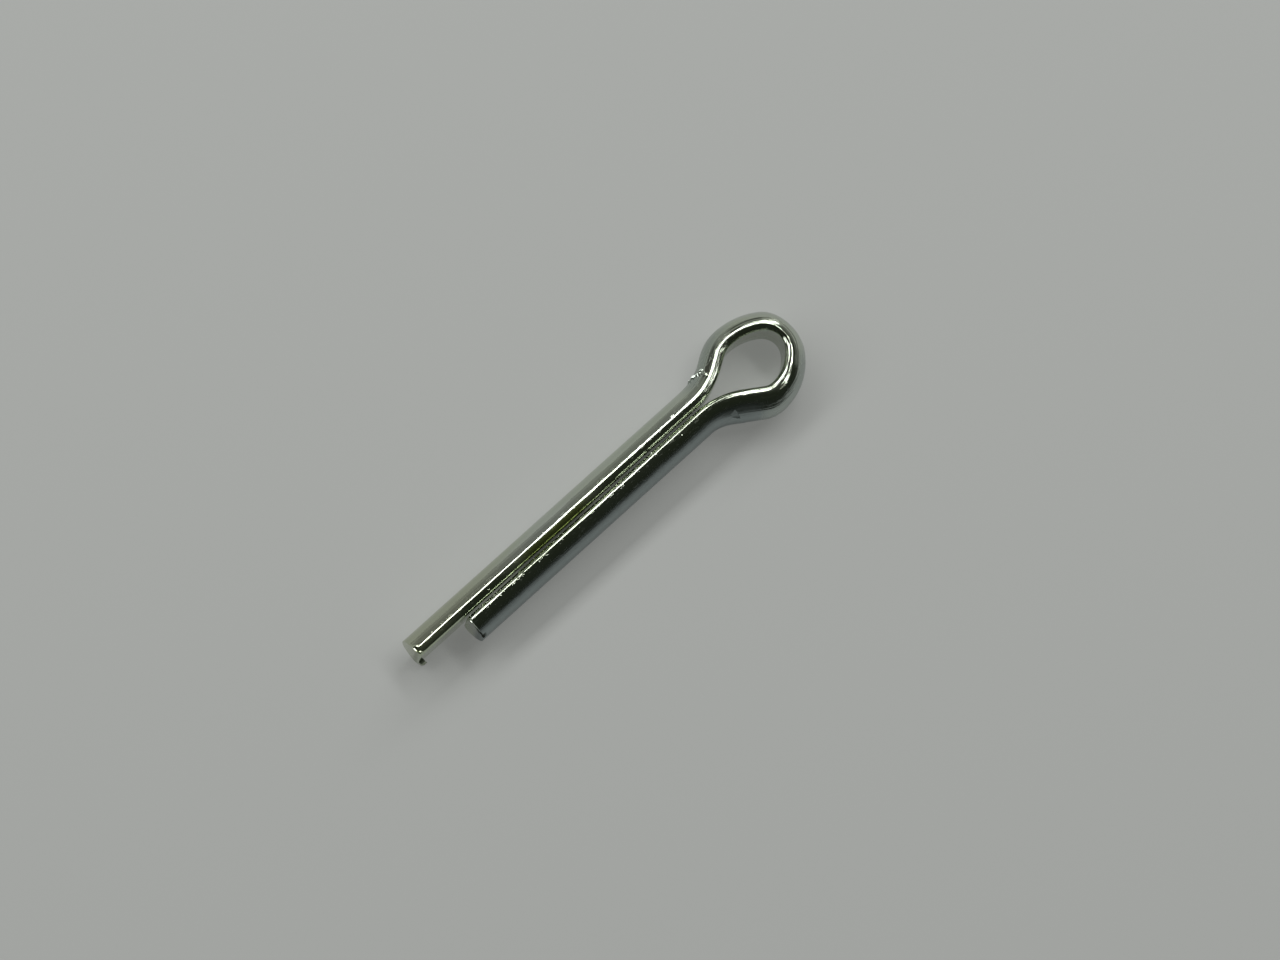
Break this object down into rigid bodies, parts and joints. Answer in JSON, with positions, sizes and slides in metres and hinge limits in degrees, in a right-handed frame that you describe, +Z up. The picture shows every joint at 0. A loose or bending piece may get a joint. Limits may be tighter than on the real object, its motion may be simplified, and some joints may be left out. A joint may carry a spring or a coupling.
{
  "type": "cotter pin",
  "caption": "Split cotter pin of half-round wire, with a pear-shaped eye and legs that lie flat to flat, one reaching past the other.",
  "frame": {"origin": "on the middle line of the shank, at the shoulders where the eye starts to swell and the pin seats on the rim of its hole", "axes": "+X runs along the legs to their ends, +Y points to the short leg's side, and +Z is up, square to the plane of the eye, with the pin lying on its side"},
  "size_m": [0.0359, 0.0075, 0.0036],
  "materials": {
    "zinc": "bright zinc plate on mild steel"
  },
  "bodies": {
    "root": {"cotter_pin": "zinc"}
  },
  "joints": []
}
